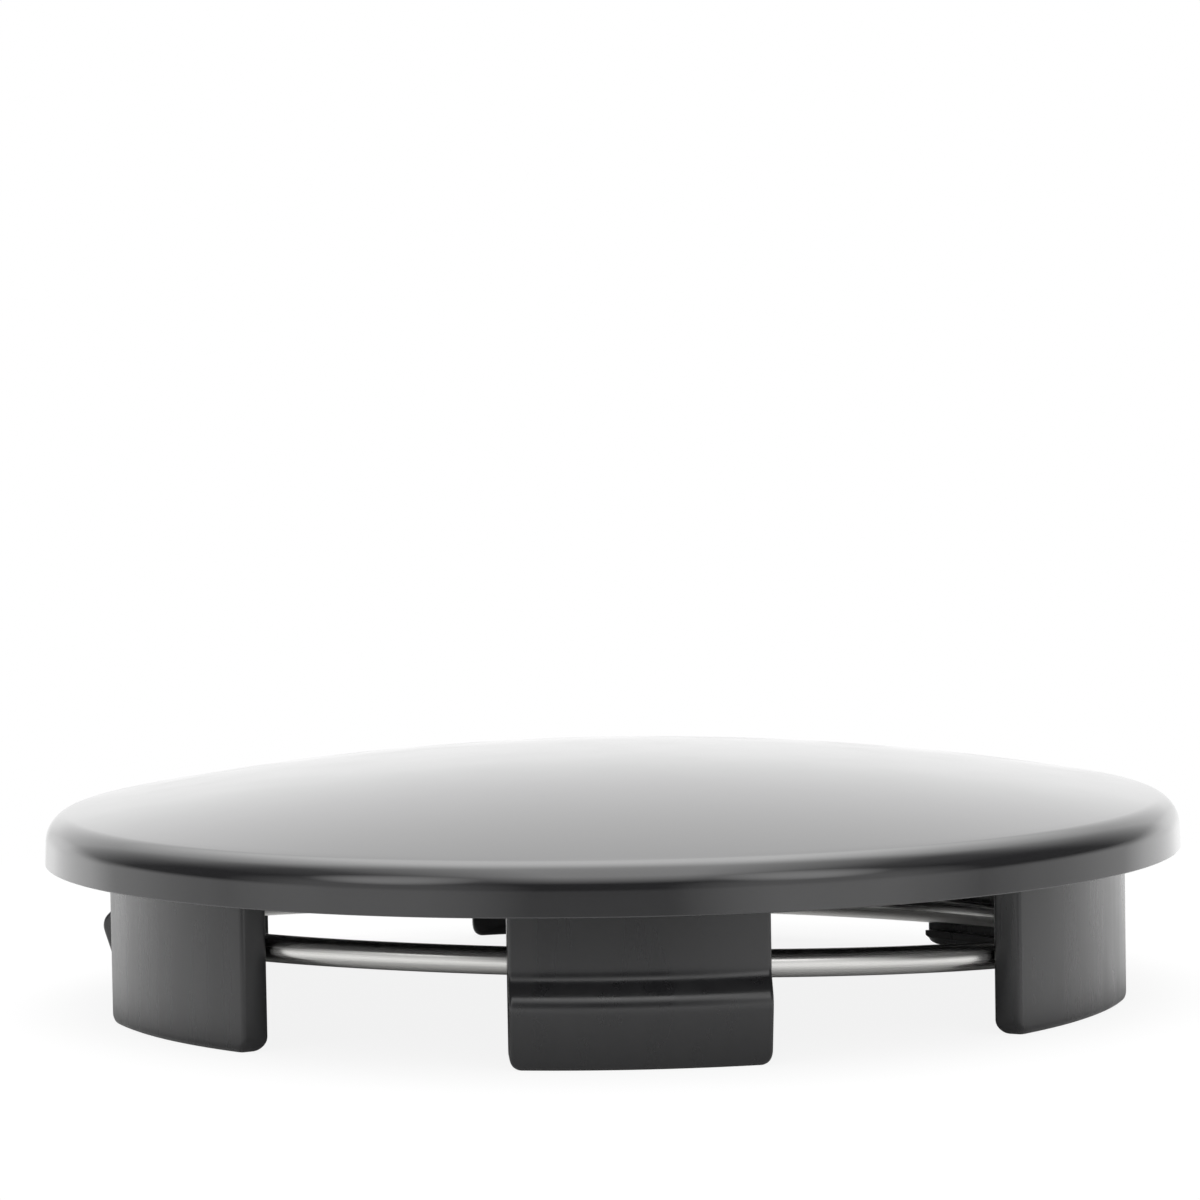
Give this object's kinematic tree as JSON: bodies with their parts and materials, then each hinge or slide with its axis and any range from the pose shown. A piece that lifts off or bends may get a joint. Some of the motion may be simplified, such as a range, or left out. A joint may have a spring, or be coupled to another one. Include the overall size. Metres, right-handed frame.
{
  "type": "wheel centre cap",
  "caption": "Round snap-in wheel centre cap with a low domed face, a rounded rim, plain walls and barbed clips underneath, and a spring wire ring inside them.",
  "frame": {"origin": "centre of the plane of the leg tips, on the cap's axis", "axes": "+Z along the cap's axis out of the domed face, -Y towards one barbed clip, +X to the right of it"},
  "size_m": [0.06, 0.06, 0.0131],
  "materials": {
    "black_abs": "polished black on the face and rim, fine satin on the legs",
    "spring_steel": "bright drawn wire"
  },
  "bodies": {
    "root": {"cap_body": "black_abs", "retaining_ring": "spring_steel"}
  },
  "joints": []
}
